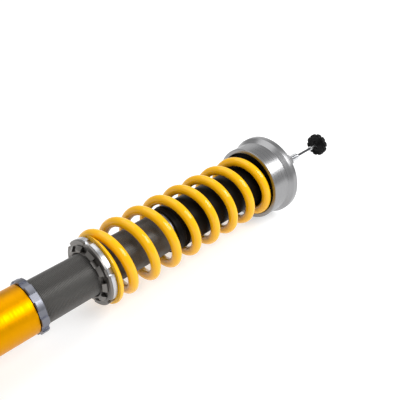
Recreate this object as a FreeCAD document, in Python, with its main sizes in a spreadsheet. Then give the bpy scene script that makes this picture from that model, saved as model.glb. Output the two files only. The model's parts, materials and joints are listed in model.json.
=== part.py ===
"""Coilover: a threaded monotube damper in a lower housing, with an adjustable main spring.

The strut's axis lies along X, at the height of the top seat's rim, on which the part rests.
Each piece is drawn in a frame of its own: its lower end at X = 0, its axis on the X axis.
"""
import FreeCAD, Part
import math
import os
import re
import Sketcher

os.makedirs("parts", exist_ok=True)
doc = FreeCAD.newDocument("coilover")

# Driving dimensions, in millimetres and degrees ------------------------------------------

sizes = {
    # fits
    "faceGap": 0.3, "runningFit": 0.06, "threadFit": 0.08, "pressFit": 0.02, "edge": 0.8,
    # lower housing and its two-bolt bracket
    "housingRadius": 28.4, "housingLength": 141.5, "housingFloor": 8, "mouthChamfer": 0.9,
    "bracketOverhang": 26, "bracketLength": 88, "bracketWall": 6, "bracketGap": 38,
    "bracketCorner": 9, "bracketTrim": 20, "boltHoleRadius": 7.1, "boltDrop": 41,
    "boltInset": 13, "boltSpacing": 55,
    # body lock ring
    "lockRingRadius": 31.5, "lockRingThickness": 8.7, "lockRingSlots": 10,
    "lockSlotWidth": 9, "lockSlotDepth": 2.6,
    # damper body
    "bodyRadius": 25.5, "bodyBore": 22.5, "bodyLength": 300.7, "bodyInserted": 113,
    "threadStart": 73, "threadLength": 142.5, "threadPitch": 1.5, "threadDepth": 0.65,
    # base cap, screw and floating piston
    "capLength": 12, "screwRadius": 3, "screwLength": 9, "ringWire": 0.95, "ringSeat": 0.05,
    "floatStation": 45, "floatLength": 12, "floatWall": 4,
    # gland at the top of the body
    "glandLength": 24, "glandLip": 4, "bushLength": 13, "bushWall": 1.5, "sealLength": 6,
    "sealWall": 4.4, "wiperLength": 5, "wiperWall": 3.6, "glandRingInset": 6,
    # piston rod
    "rodRadius": 10, "tailRadius": 6, "tailLength": 35, "rodLength": 262, "spigotRadius": 6.9,
    "spigotLength": 77, "studRadius": 5, "studLength": 29.5, "studCore": 4.6, "rodBore": 1.95,
    # piston and valve stack
    "pistonLength": 14.5, "bandLength": 9, "bandDepth": 1.4, "portRadius": 2.1,
    "portCircle": 13.5, "portCount": 8, "shimThickness": 0.7, "shimCount": 5,
    "shimRadius": 18, "shimStep": 1.9, "tailWasher": 2.5, "pistonNutThickness": 9,
    "pistonNutFlats": 19, "stopLength": 6, "stopRadius": 15,
    "bumperLength": 7.7,
    # spring perch, its lock ring and the spring's seat ring
    "exposedThread": 79, "perchRadius": 40.5, "flangeThickness": 2.6, "perchSlots": 6,
    "perchSlotWidth": 8.5, "perchSlotDepth": 2.8, "shoulderRadius": 36.6, "shoulderLength": 4,
    "guideRadius": 31.2, "guideRise": 2.6, "seatRingThickness": 6.2,
    "perchLockNose": 31, "perchLockRadius": 34.7, "perchLockThickness": 4.3,
    "perchLockSlots": 10, "perchLockSlotWidth": 9, "perchLockSlotDepth": 6.1, "boreChamfer": 2,
    # main spring
    "coilRadius": 38.5, "wireRadius": 6, "springLength": 264.3, "coilTurns": 8.785,
    "closedTurns": 0.9, "topClosedTurns": 0.115, "closedGap": 0.6, "tipThickness": 3.6, "tipAngle": 77,
    # top seat and what it holds
    "seatRadius": 50.5, "seatCylinder": 26, "rimRadius": 55.3, "rimFlare": 7.2, "rimLength": 8,
    "recessRadius": 45.2, "recessDepth": 10.3, "webThickness": 11.5, "topRecessRadius": 45,
    "hubRadius": 26.2, "hubDrop": 8, "hubPocketDepth": 16.8, "hubPocketRadius": 21.5,
    "topHubRadius": 21, "topHubRise": 4, "isolatorThickness": 3.2, "isolatorBore": 30,
    # bearing, spacer and nut on the rod's spigot
    "bumpWasherThickness": 2.5, "seatBushRadius": 9.5, "raceThickness": 2.2,
    "cageThickness": 2.6, "bearingRadius": 19, "cagePockets": 18, "pocketWidth": 1.8,
    "spacerRadius": 9.5, "nutWasherThickness": 2, "nutWasherRadius": 11, "nutThickness": 9,
    "nutFlats": 17,
    # bump stop and dust boot
    "bumpLength": 72.5, "bumpRadius": 21, "bumpWaist": 2.6, "bumpGap": 0.5,
    "bootRadius": 29, "bootBore": 26.4, "bootDrop": 2, "ridgeRise": 0.9, "ridgeWidth": 3,
    # damping adjuster
    "adjusterRadius": 1.75, "adjusterInset": 57, "adjusterInKnob": 6, "needleLength": 34,
    "needleTip": 6, "adjusterShown": 32, "collarRadius": 3.25, "collarLength": 16,
    "grubRadius": 0.9, "grubStation": 8, "knobRadius": 16.8, "knobLength": 9,
    "knobLobes": 10, "lobeCut": 3.2, "lobeCutDepth": 1.5, "knobDish": 3, "knobDishRadius": 11,
    "knobEdge": 2.5,
}
sheet = doc.addObject("Spreadsheet::Sheet", "size")
for row, (alias, number) in enumerate(sizes.items(), start=1):
    sheet.set(f"A{row}", alias)
    sheet.set(f"B{row}", str(number))
    sheet.setAlias(f"B{row}", alias)
doc.recompute()


def bound(text):
    """Give each plain alias in an expression its sheet's name."""
    return re.sub(r"\b([a-z]\w+)\b(?!\()", r"size.\1", text)


def value(text):
    """The number that an expression on the sheet comes to."""
    return float(sheet.evalExpression(text))


# Stations along the strut, from the bracket's lower end ------------------------------------

mouth = "(bracketOverhang + housingLength)"
bodyLow = f"({mouth} - bodyInserted)"
bodyTop = f"({bodyLow} + bodyLength)"
perchNear = f"({mouth} + exposedThread)"
seatRingLow = f"({perchNear} + flangeThickness + faceGap)"
springLow = f"({seatRingLow} + seatRingThickness + faceGap)"
springTop = f"({springLow} + springLength)"
recessFloor = f"({springTop} + faceGap + isolatorThickness + faceGap)"
seatLow = f"({recessFloor} - recessDepth)"
hubFloor = f"({recessFloor} - hubDrop - recessDepth + hubPocketDepth)"
shoulder = f"({hubFloor} - faceGap - bumpWasherThickness)"
rodLow = f"({shoulder} - rodLength - tailLength)"
pistonTop = f"({rodLow} + tailLength - tailWasher - shimCount * shimThickness)"
hubTop = f"({recessFloor} + webThickness + topHubRise)"
upperRace = f"({hubTop} + raceThickness + cageThickness + 2 * faceGap)"
spacerLow = f"({upperRace} + raceThickness)"
studLow = f"({shoulder} + spigotLength)"
studTop = f"({studLow} + studLength)"
knobLow = f"({studTop} + adjusterShown + collarLength)"
knobTop = f"({knobLow} + knobLength)"
across = FreeCAD.Rotation(FreeCAD.Vector(0, 1, 0), 90)


# Ways of making a piece --------------------------------------------------------------------

pieces = []


def place(piece, name, station):
    """Name a finished piece and bind its place on the strut's axis."""
    piece.Label = name
    piece.setExpression(".Placement.Base.x", bound(f"{station} - {knobTop} / 2"))
    piece.setExpression(".Placement.Base.z", bound("rimRadius"))
    pieces.append(piece)
    return piece


def plane_of(body, role):
    """One of a body's own origin planes or axes."""
    return next(item for item in body.Origin.OriginFeatures if item.Role == role)


def draw(body, name, role, corners):
    """A closed outline whose corners are all bound to the sheet."""
    sketch = body.newObject("Sketcher::SketchObject", name)
    sketch.AttachmentSupport = [(plane_of(body, role), "")]
    sketch.MapMode = "FlatFace"
    points = [FreeCAD.Vector(value(x), value(y), 0) for x, y in corners]
    count = len(points)
    for index in range(count):
        sketch.addGeometry(Part.LineSegment(points[index], points[(index + 1) % count]))
    joints = []
    for index in range(count):
        joints.append(Sketcher.Constraint("Coincident", index, 2, (index + 1) % count, 1))
    for index, point in enumerate(points):
        joints.append(Sketcher.Constraint("DistanceX", -1, 1, index, 1, point.x))
        joints.append(Sketcher.Constraint("DistanceY", -1, 1, index, 1, point.y))
    sketch.addConstraint(joints)
    for index, (x, y) in enumerate(corners):
        sketch.setExpression(f"Constraints[{count + 2 * index}]", bound(x))
        sketch.setExpression(f"Constraints[{count + 2 * index + 1}]", bound(y))
    return sketch


def turned(name, station, outline):
    """A body turned about the X axis from lines of "distance along, radius"."""
    body = doc.addObject("PartDesign::Body", name)
    corners = [line.split(",") for line in outline.strip().splitlines()]
    sketch = draw(body, f"{name}_outline", "XZ_Plane", corners)
    turn = body.newObject("PartDesign::Revolution", f"{name}_turned")
    turn.Profile = sketch
    turn.ReferenceAxis = (sketch, ["H_Axis"])
    turn.Angle = 360
    return place(body, name, station)


def sleeve(name, station, length, bore, radius):
    """A plain turned ring."""
    return turned(name, station, f"""
        0, {bore}
        0, {radius}
        {length}, {radius}
        {length}, {bore}""")


def pattern(body, cut, name, count):
    """Repeat a cut about the body's X axis."""
    doc.recompute()
    ring = body.newObject("PartDesign::PolarPattern", name)
    ring.Originals = [cut]
    ring.Axis = (plane_of(body, "X_Axis"), [""])
    ring.Angle = 360
    ring.setExpression("Occurrences", bound(count))
    body.Tip = ring
    return ring


def slotted(body, count, width, depth, radius):
    """Cut square slots right through a ring's rim, one of them at the top."""
    half = f"{width} / 2"
    floor = f"{radius} - {depth}"
    corners = [(f"-{half}", floor), (half, floor), (half, f"{radius} + edge"),
               (f"-{half}", f"{radius} + edge")]
    sketch = draw(body, f"{body.Name}_slot", "YZ_Plane", corners)
    cut = body.newObject("PartDesign::Pocket", f"{body.Name}_slot_cut")
    cut.Profile = sketch
    cut.Type = "ThroughAll"
    cut.Midplane = True
    return pattern(body, cut, f"{body.Name}_slots", count)


def drilled(body, count, radius, circle, depth=None):
    """Cut round holes along X, spaced about the axis."""
    sketch = body.newObject("Sketcher::SketchObject", f"{body.Name}_hole")
    sketch.AttachmentSupport = [(plane_of(body, "YZ_Plane"), "")]
    sketch.MapMode = "FlatFace"
    centre = FreeCAD.Vector(0, value(circle), 0)
    sketch.addGeometry(Part.Circle(centre, FreeCAD.Vector(0, 0, 1), value(radius)))
    sketch.addConstraint([
        Sketcher.Constraint("PointOnObject", 0, 3, -2),
        Sketcher.Constraint("DistanceY", -1, 1, 0, 3, value(circle)),
        Sketcher.Constraint("Radius", 0, value(radius))])
    sketch.setExpression("Constraints[1]", bound(circle))
    sketch.setExpression("Constraints[2]", bound(radius))
    cut = body.newObject("PartDesign::Pocket", f"{body.Name}_hole_cut")
    cut.Profile = sketch
    cut.Type = "ThroughAll"
    cut.Midplane = True
    return pattern(body, cut, f"{body.Name}_holes", count)


def seal_ring(name, station, radius):
    """A rubber ring of round section, centred on its station."""
    ring = doc.addObject("Part::Torus", name)
    ring.Placement = FreeCAD.Placement(FreeCAD.Vector(), across)
    ring.setExpression("Radius1", bound(radius))
    ring.setExpression("Radius2", bound("ringWire"))
    return place(ring, name, station)


def hex_nut(name, station, flats, thickness, bore):
    """A hexagonal nut with a plain bore."""
    prism = doc.addObject("Part::Prism", f"{name}_prism")
    prism.Polygon = 6
    prism.setExpression("Circumradius", bound(f"{flats}") + " / sqrt(3)")
    prism.setExpression("Height", bound(thickness))
    hole = doc.addObject("Part::Cylinder", f"{name}_hole")
    hole.setExpression("Radius", bound(bore))
    hole.setExpression("Height", bound(thickness))
    nut = doc.addObject("Part::Cut", name)
    nut.Base = prism
    nut.Tool = hole
    nut.Placement = FreeCAD.Placement(FreeCAD.Vector(), across)
    return place(nut, name, station)


# Lower housing: a tube, open at its mouth, with a female thread for the damper body ---------

turned("lower_housing", "bracketOverhang", """
    0, 0
    0, housingRadius - mouthChamfer
    mouthChamfer, housingRadius
    housingLength - mouthChamfer, housingRadius
    housingLength, housingRadius - mouthChamfer
    housingLength, bodyRadius + threadFit + mouthChamfer
    housingLength - mouthChamfer, bodyRadius + threadFit
    housingFloor, bodyRadius + threadFit
    housingFloor, 0""")

# Knuckle bracket: a wrap round the housing with two plates that hang from it


def block(name, low, long, wide, drop, rise):
    """A box in the bracket's frame, centred on Y, from drop below the axis to rise above it."""
    box = doc.addObject("Part::Box", name)
    box.setExpression("Length", bound(long))
    box.setExpression("Width", bound(wide))
    box.setExpression("Height", bound(f"{drop} + {rise}"))
    box.setExpression(".Placement.Base.x", bound(low))
    box.setExpression(".Placement.Base.y", bound(f"-({wide}) / 2"))
    box.setExpression(".Placement.Base.z", bound(f"-({drop})"))
    return box


def rod_along_x(name, radius):
    """A cylinder along X as long as the bracket."""
    rod = doc.addObject("Part::Cylinder", name)
    rod.Placement = FreeCAD.Placement(FreeCAD.Vector(), across)
    rod.setExpression("Radius", bound(radius))
    rod.setExpression("Height", bound("bracketLength"))
    return rod


plates = block("bracket_plates", "0", "bracketLength", "bracketGap + 2 * bracketWall",
               "rimRadius", "0")
rounded = doc.addObject("Part::Fillet", "bracket_rounded")
rounded.Base = plates
doc.recompute()
corner = value("bracketCorner")
edges = enumerate(plates.Shape.Edges, start=1)
rounded.Edges = [(number, corner, corner) for number, edge in edges
                 if abs(edge.tangentAt(edge.FirstParameter).y) > 0.5
                 and edge.CenterOfMass.z < -corner]
wrap = doc.addObject("Part::MultiFuse", "bracket_whole")
wrap.Shapes = [rod_along_x("bracket_wrap", "housingRadius + bracketWall"), rounded]
cuts = [
    rod_along_x("bracket_bore", "housingRadius + pressFit"),
    block("bracket_gap", "0", "bracketLength", "bracketGap", "rimRadius", "0"),
    block("bracket_trim", "0", "bracketOverhang - faceGap", "4 * housingRadius",
          "bracketTrim", "2 * housingRadius"),
]
for index in range(2):
    bolt = doc.addObject("Part::Cylinder", f"bracket_bolt_{index + 1}")
    bolt.Placement = FreeCAD.Placement(FreeCAD.Vector(), FreeCAD.Rotation(FreeCAD.Vector(1, 0, 0), 90))
    bolt.setExpression("Radius", bound("boltHoleRadius"))
    bolt.setExpression("Height", bound("bracketGap + 4 * bracketWall"))
    bolt.setExpression(".Placement.Base.x", bound(f"boltInset + {index} * boltSpacing"))
    bolt.setExpression(".Placement.Base.y", bound("bracketGap / 2 + 2 * bracketWall"))
    bolt.setExpression(".Placement.Base.z", bound("-boltDrop"))
    cuts.append(bolt)
waste = doc.addObject("Part::MultiFuse", "bracket_waste")
waste.Shapes = cuts
bracket = doc.addObject("Part::Cut", "knuckle_bracket")
bracket.Base = wrap
bracket.Tool = waste
place(bracket, "knuckle_bracket", "0")

# Body lock ring, against the housing's mouth


def castle_ring(name, station, radius, thickness, count, width, depth):
    """A ring nut on the body's thread, with a chamfered bore and slots for a hook spanner."""
    ring = turned(name, station, f"""
        0, bodyRadius + boreChamfer
        0, {radius} - edge
        edge, {radius}
        {thickness} - edge, {radius}
        {thickness}, {radius} - edge
        {thickness}, bodyRadius + threadFit
        boreChamfer, bodyRadius + threadFit""")
    slotted(ring, count, width, depth, radius)


castle_ring("body_lock_ring", f"{mouth} + faceGap", "lockRingRadius", "lockRingThickness",
            "lockRingSlots", "lockSlotWidth", "lockSlotDepth")

# Damper body: a tube with a fine thread over its lower part ---------------------------------

body = turned("damper_body", bodyLow, """
    0, bodyBore
    0, bodyRadius - edge
    edge, bodyRadius
    bodyLength, bodyRadius
    bodyLength, bodyBore""")
groove = draw(body, "thread_groove", "XZ_Plane", [
    ("threadStart", "bodyRadius + edge"),
    ("threadStart + threadPitch / 2", "bodyRadius - threadDepth"),
    ("threadStart + threadPitch", "bodyRadius + edge")])
thread = body.newObject("PartDesign::Groove", "thread_cut")
thread.Profile = groove
thread.ReferenceAxis = (groove, ["H_Axis"])
thread.Angle = 360
doc.recompute()
turns = body.newObject("PartDesign::LinearPattern", "thread_turns")
turns.Originals = [thread]
turns.Direction = (plane_of(body, "X_Axis"), [""])
turns.setExpression("Occurrences", bound("floor(threadLength / threadPitch)"))
turns.setExpression("Length", bound("threadPitch * (floor(threadLength / threadPitch) - 1)"))
body.Tip = turns

# Base cap, its ring and the gas filling screw in it

turned("base_cap", bodyLow, """
    0, screwRadius + pressFit
    0, bodyBore - runningFit
    capLength / 2 - ringWire - ringSeat, bodyBore - runningFit
    capLength / 2 - ringWire - ringSeat, bodyBore - 2 * ringWire - 2 * ringSeat
    capLength / 2 + ringWire + ringSeat, bodyBore - 2 * ringWire - 2 * ringSeat
    capLength / 2 + ringWire + ringSeat, bodyBore - runningFit
    capLength, bodyBore - runningFit
    capLength, screwRadius + pressFit""")
seal_ring("base_cap_ring", f"{bodyLow} + capLength / 2", "bodyBore - ringWire - ringSeat")
turned("fill_screw", f"{bodyLow} + capLength - screwLength", """
    0, 0
    0, screwRadius
    screwLength, screwRadius
    screwLength, 0""")

# Floating piston between gas and oil, and its ring

turned("floating_piston", f"{bodyLow} + floatStation", """
    floatWall, 0
    floatWall, bodyBore - 2 * floatWall
    0, bodyBore - 2 * floatWall
    0, bodyBore - runningFit
    floatLength / 2 - ringWire - ringSeat, bodyBore - runningFit
    floatLength / 2 - ringWire - ringSeat, bodyBore - 2 * ringWire - 2 * ringSeat
    floatLength / 2 + ringWire + ringSeat, bodyBore - 2 * ringWire - 2 * ringSeat
    floatLength / 2 + ringWire + ringSeat, bodyBore - runningFit
    floatLength, bodyBore - runningFit
    floatLength, 0""")
seal_ring("floating_piston_ring", f"{bodyLow} + floatStation + floatLength / 2",
          "bodyBore - ringWire - ringSeat")

# Gland: it closes the body's top and guides the rod

glandLow = f"({bodyTop} - glandLength)"
turned("rod_gland", glandLow, """
    0, rodRadius + runningFit + bushWall + pressFit
    0, bodyBore - runningFit
    glandRingInset - ringWire - ringSeat, bodyBore - runningFit
    glandRingInset - ringWire - ringSeat, bodyBore - 2 * ringWire - 2 * ringSeat
    glandRingInset + ringWire + ringSeat, bodyBore - 2 * ringWire - 2 * ringSeat
    glandRingInset + ringWire + ringSeat, bodyBore - runningFit
    glandLength, bodyBore - runningFit
    glandLength, bodyRadius
    glandLength + glandLip - edge, bodyRadius
    glandLength + glandLip, bodyRadius - edge
    glandLength + glandLip, rodRadius + runningFit + wiperWall + pressFit
    glandLength + glandLip - wiperLength, rodRadius + runningFit + wiperWall + pressFit
    glandLength + glandLip - wiperLength, rodRadius + faceGap
    bushLength + sealLength, rodRadius + faceGap
    bushLength + sealLength, rodRadius + runningFit + sealWall + pressFit
    bushLength, rodRadius + runningFit + sealWall + pressFit
    bushLength, rodRadius + runningFit + bushWall + pressFit""")
seal_ring("gland_ring", f"{glandLow} + glandRingInset", "bodyBore - ringWire - ringSeat")
sleeve("guide_bush", glandLow, "bushLength", "rodRadius + runningFit",
       "rodRadius + runningFit + bushWall")
sleeve("rod_seal", f"{glandLow} + bushLength", "sealLength", "rodRadius + runningFit",
       "rodRadius + runningFit + sealWall")
turned("wiper_seal", f"{glandLow} + glandLength + glandLip - wiperLength", """
    0, rodRadius + runningFit
    0, rodRadius + runningFit + wiperWall
    wiperLength, rodRadius + runningFit + wiperWall
    wiperLength, rodRadius + runningFit + wiperWall / 2
    wiperLength + edge, rodRadius + runningFit""")

# Piston rod: tail for the valve stack, shaft, spigot for the top seat, stud for the nut -----

turned("piston_rod", rodLow, """
    0, rodBore
    0, tailRadius
    tailLength, tailRadius
    tailLength, rodRadius
    tailLength + rodLength, rodRadius
    tailLength + rodLength, spigotRadius
    tailLength + rodLength + spigotLength, spigotRadius
    tailLength + rodLength + spigotLength, studRadius
    tailLength + rodLength + spigotLength + nutWasherThickness, studRadius
    tailLength + rodLength + spigotLength + nutWasherThickness, studCore
    tailLength + rodLength + spigotLength + nutWasherThickness + nutThickness + edge, studCore
    tailLength + rodLength + spigotLength + nutWasherThickness + nutThickness + edge, studRadius
    tailLength + rodLength + spigotLength + studLength - edge, studRadius
    tailLength + rodLength + spigotLength + studLength, studRadius - edge
    tailLength + rodLength + spigotLength + studLength, rodBore""")
piston = turned("piston", f"{pistonTop} - pistonLength", """
    0, tailRadius + pressFit
    0, bodyBore - 4 * runningFit
    pistonLength / 2 - bandLength / 2 - ringSeat, bodyBore - 4 * runningFit
    pistonLength / 2 - bandLength / 2 - ringSeat, bodyBore - runningFit - bandDepth - ringSeat
    pistonLength / 2 + bandLength / 2 + ringSeat, bodyBore - runningFit - bandDepth - ringSeat
    pistonLength / 2 + bandLength / 2 + ringSeat, bodyBore - 4 * runningFit
    pistonLength, bodyBore - 4 * runningFit
    pistonLength, tailRadius + pressFit""")
drilled(piston, "portCount", "portRadius", "portCircle")
sleeve("piston_band", f"{pistonTop} - pistonLength / 2 - bandLength / 2", "bandLength",
       "bodyBore - runningFit - bandDepth", "bodyBore - runningFit")


def shim_stack(name, station, smallest_first):
    """A pyramid of thin discs, turned as one stack."""
    count = int(value("shimCount"))
    order = range(count) if smallest_first else range(count - 1, -1, -1)
    lines = ["0, tailRadius + pressFit"]
    for place_in_stack, step in enumerate(order):
        radius = f"shimRadius - {count - 1 - step} * shimStep"
        lines.append(f"{place_in_stack} * shimThickness, {radius}")
        lines.append(f"{place_in_stack + 1} * shimThickness, {radius}")
    lines.append(f"{count} * shimThickness, tailRadius + pressFit")
    return turned(name, station, "\n".join(lines))


shim_stack("compression_shims", pistonTop, False)
reboundLow = f"({pistonTop} - pistonLength - shimCount * shimThickness)"
shim_stack("rebound_shims", reboundLow, True)
sleeve("stack_washer", f"{pistonTop} + shimCount * shimThickness", "tailWasher",
       "tailRadius + pressFit", "rodRadius + tailWasher")
hex_nut("piston_nut", f"{reboundLow} - pistonNutThickness", "pistonNutFlats",
        "pistonNutThickness", "tailRadius + pressFit")

# Stop collar and its rubber, which meet the gland at full extension

bumperLow = f"({glandLow} - faceGap - bumperLength)"
sleeve("stop_collar", f"{bumperLow} - stopLength", "stopLength", "rodRadius + pressFit",
       "stopRadius")
sleeve("topout_bumper", bumperLow, "bumperLength", "rodRadius + pressFit",
       "stopRadius - edge")

# Spring perch, its lock ring, and the plain ring that the spring sits on --------------------

lockRing = turned("perch_lock_ring", f"{perchNear} - faceGap - perchLockThickness", """
    0, bodyRadius + boreChamfer
    0, perchLockNose
    perchLockThickness - edge, perchLockRadius
    perchLockThickness, perchLockRadius
    perchLockThickness, bodyRadius + threadFit
    boreChamfer, bodyRadius + threadFit""")
slotted(lockRing, "perchLockSlots", "perchLockSlotWidth", "perchLockSlotDepth",
        "perchLockRadius")
perch = turned("spring_perch", perchNear, f"""
    0, bodyRadius + threadFit
    0, perchRadius - edge
    edge, perchRadius
    flangeThickness, perchRadius
    flangeThickness, shoulderRadius
    flangeThickness + shoulderLength, shoulderRadius
    flangeThickness + shoulderLength, guideRadius
    {springLow} - {perchNear} + guideRise, guideRadius
    {springLow} - {perchNear} + guideRise, bodyRadius + threadFit""")
slotted(perch, "perchSlots", "perchSlotWidth", "perchSlotDepth", "perchRadius")
seatRing = turned("spring_seat_ring", seatRingLow, """
    0, shoulderRadius + faceGap
    0, perchRadius
    seatRingThickness - edge, perchRadius
    seatRingThickness, perchRadius - edge
    seatRingThickness, guideRadius + faceGap
    shoulderLength, guideRadius + faceGap
    shoulderLength, shoulderRadius + faceGap""")
slotted(seatRing, "perchSlots", "perchSlotWidth", "perchSlotDepth", "perchRadius")

# Main spring: one round wire, closed at its low end, both ends ground flat -----------------

wireRadius = value("wireRadius")
coilRadius = value("coilRadius")
springLength = value("springLength")
coilTurns = value("coilTurns")
tipRise = value("tipThickness") - wireRadius
closedPitch = 2 * wireRadius + value("closedGap")
closedTurns = value("closedTurns")
topClosedTurns = value("topClosedTurns")
closedRise = 2 * tipRise + (closedTurns + topClosedTurns) * closedPitch
openPitch = (springLength - closedRise) / (coilTurns - closedTurns - topClosedTurns)
stepsPerTurn = 8
easeTurns = 0.25


def pitch_at(turn):
    """The wire's rise per turn: closed at the ends, eased into the open turns."""
    inward = min(turn - closedTurns, coilTurns - turn - topClosedTurns)
    share = min(max(inward / easeTurns + 0.5, 0), 1)
    return closedPitch + (openPitch - closedPitch) * share


def wire_point(turn, rise):
    """A point of the wire's centre line."""
    angle = math.radians(value("tipAngle")) + 2 * math.pi * turn
    return FreeCAD.Vector(rise, coilRadius * math.cos(angle), coilRadius * math.sin(angle))


def wire_direction(turn):
    """The unit tangent of the wire's centre line."""
    angle = math.radians(value("tipAngle")) + 2 * math.pi * turn
    sweep = 2 * math.pi * coilRadius
    tangent = FreeCAD.Vector(pitch_at(turn), -sweep * math.sin(angle), sweep * math.cos(angle))
    return tangent.normalize()


def biarc(start, way, end, endWay):
    """Two arcs, tangent to each other and to the given directions."""
    chord = end - start
    both = way + endWay
    square = 2 * (1 - way.dot(endWay))
    middle = chord.dot(both)
    reach = (math.sqrt(middle ** 2 + square * chord.dot(chord)) - middle) / square
    corners = [start + way * reach, end - endWay * reach]
    joint = (corners[0] + corners[1]) * 0.5
    arcs = []
    for first, corner, last in ((start, corners[0], joint), (joint, corners[1], end)):
        centre = (first + last) * 0.5
        slope = (first - centre).Length / (first - corner).Length
        crest = centre + (corner - centre) * (slope / (1 + slope))
        arcs.append(Part.Arc(first, crest, last).toShape())
    return arcs


stepCount = int(round(coilTurns * stepsPerTurn))
knots = [coilTurns * step / stepCount for step in range(stepCount + 1)]
rises = [tipRise]
for before, after in zip(knots, knots[1:]):
    rises.append(rises[-1] + (after - before) * pitch_at((before + after) / 2))
stretch = (springLength - 2 * tipRise) / (rises[-1] - rises[0])
rises = [tipRise + (rise - tipRise) * stretch for rise in rises]
wireArcs = []
for index in range(stepCount):
    wireArcs += biarc(wire_point(knots[index], rises[index]), wire_direction(knots[index]),
                      wire_point(knots[index + 1], rises[index + 1]),
                      wire_direction(knots[index + 1]))
path = Part.Wire(wireArcs)
section = Part.Wire(Part.Circle(wire_point(0, tipRise), wire_direction(0), wireRadius).toShape())
tube = path.makePipeShell([section], True, False)
endBlock = 2 * wireRadius
wide = 2 * (coilRadius + 2 * wireRadius)
for low in (-endBlock, springLength):
    grinder = Part.makeBox(endBlock, wide, wide, FreeCAD.Vector(low, -wide / 2, -wide / 2))
    tube = tube.cut(grinder)
spring = doc.addObject("Part::Feature", "main_spring")
spring.Shape = tube.Solids[0] if len(tube.Solids) == 1 else tube
place(spring, "main_spring", springLow)
centres = [arc.valueAt(arc.FirstParameter) for arc in wireArcs]
apart = stepsPerTurn
leastGap = min((one - other).Length for index, one in enumerate(centres)
               for other in centres[index + apart:]) - 2 * wireRadius
print(f"spring: {len(tube.Solids)} solid, valid {tube.isValid()}, volume {tube.Volume:.0f}, "
      f"open pitch {openPitch:.2f}, least gap to itself {leastGap:.2f} mm")

# Top seat: a spool that takes the spring in its lower recess -------------------------------

turned("top_seat", seatLow, """
    0, recessRadius
    0, seatRadius - edge
    edge, seatRadius
    seatCylinder, seatRadius
    seatCylinder + rimFlare, rimRadius
    seatCylinder + rimFlare + rimLength - edge, rimRadius
    seatCylinder + rimFlare + rimLength, rimRadius - edge
    seatCylinder + rimFlare + rimLength, topRecessRadius
    recessDepth + webThickness, topRecessRadius
    recessDepth + webThickness, topHubRadius
    recessDepth + webThickness + topHubRise, topHubRadius
    recessDepth + webThickness + topHubRise, seatBushRadius + runningFit
    hubPocketDepth - hubDrop, seatBushRadius + runningFit
    hubPocketDepth - hubDrop, hubPocketRadius
    -hubDrop, hubPocketRadius
    -hubDrop, hubRadius
    recessDepth, hubRadius
    recessDepth, recessRadius""")
sleeve("top_isolator", f"{springTop} + faceGap", "isolatorThickness", "isolatorBore",
       "recessRadius - faceGap")

# Between the rod's shoulder and the nut: washer, bush, thrust bearing, spacer ---------------

sleeve("bump_washer", shoulder, "bumpWasherThickness", "spigotRadius + pressFit",
       "hubPocketRadius - bumpGap")
sleeve("seat_bush", f"{hubFloor} - faceGap", f"{upperRace} - {hubFloor} + faceGap",
       "spigotRadius + pressFit", "seatBushRadius")
sleeve("bearing_lower_race", hubTop, "raceThickness", "seatBushRadius + faceGap",
       "bearingRadius")
cage = sleeve("bearing_cage", f"{hubTop} + raceThickness + faceGap", "cageThickness",
              "seatBushRadius + faceGap", "bearingRadius")
slotted(cage, "cagePockets", "pocketWidth", "(bearingRadius - seatBushRadius) / 2",
        "bearingRadius")
sleeve("bearing_upper_race", upperRace, "raceThickness", "spigotRadius + pressFit",
       "bearingRadius")
sleeve("top_spacer", spacerLow, f"{studLow} - {spacerLow}", "spigotRadius + pressFit",
       "spacerRadius")
sleeve("nut_washer", studLow, "nutWasherThickness", "studRadius + pressFit", "nutWasherRadius")
hex_nut("top_nut", f"{studLow} + nutWasherThickness", "nutFlats", "nutThickness",
        "studCore + pressFit")

# Bump stop: a waisted rubber sleeve on the rod, in the seat's hub

turned("bump_stop", f"{shoulder} - bumpLength", """
    0, rodRadius + faceGap
    0, bumpRadius - 2 * bumpWaist
    bumpLength / 6, bumpRadius - bumpWaist
    bumpLength / 3, bumpRadius - 2 * bumpWaist
    bumpLength / 2, bumpRadius - bumpWaist
    2 * bumpLength / 3, bumpRadius - 2 * bumpWaist
    5 * bumpLength / 6 - edge, bumpRadius
    bumpLength, bumpRadius
    bumpLength, rodRadius + faceGap""")

# Dust boot: a sleeve from the seat's hub down to the gland's lip

bootLow = f"({bodyTop} + bootDrop)"
turned("dust_boot", bootLow, f"""
    0, bootBore
    0, bootRadius
    2 * ridgeWidth, bootRadius
    3 * ridgeWidth, bootRadius + ridgeRise
    4 * ridgeWidth, bootRadius
    5 * ridgeWidth, bootRadius
    6 * ridgeWidth, bootRadius + ridgeRise
    7 * ridgeWidth, bootRadius
    {recessFloor} - {bootLow}, bootRadius
    {recessFloor} - {bootLow}, bootBore""")

# Damping adjuster: knob, collar and rod turn together and press the needle down ------------

adjusterLow = f"({rodLow} + adjusterInset)"
sleeveLength = f"{knobLow} + adjusterInKnob - {adjusterLow}"
turned("adjuster_rod", adjusterLow, f"""
    0, 0
    0, adjusterRadius
    {sleeveLength}, adjusterRadius
    {sleeveLength}, 0""")
turned("metering_needle", f"{adjusterLow} - faceGap - needleLength", """
    0, 0
    0, adjusterRadius / 3
    needleTip, adjusterRadius
    needleLength, adjusterRadius
    needleLength, 0""")
collar = turned("knob_collar", f"{knobLow} - collarLength", """
    0, adjusterRadius + pressFit
    0, collarRadius - edge / 2
    edge / 2, collarRadius
    collarLength, collarRadius
    collarLength, adjusterRadius + pressFit""")
screw = doc.addObject("Part::Cylinder", "knob_grub_screw")
screw.setExpression("Radius", bound("grubRadius"))
screw.setExpression("Height", bound("collarRadius - adjusterRadius - 2 * pressFit"))
place(screw, "knob_grub_screw", f"{knobLow} - collarLength + grubStation")
screw.setExpression(".Placement.Base.z", bound("rimRadius + adjusterRadius + pressFit"))
tapping = collar.newObject("Sketcher::SketchObject", "grub_hole")
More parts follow.
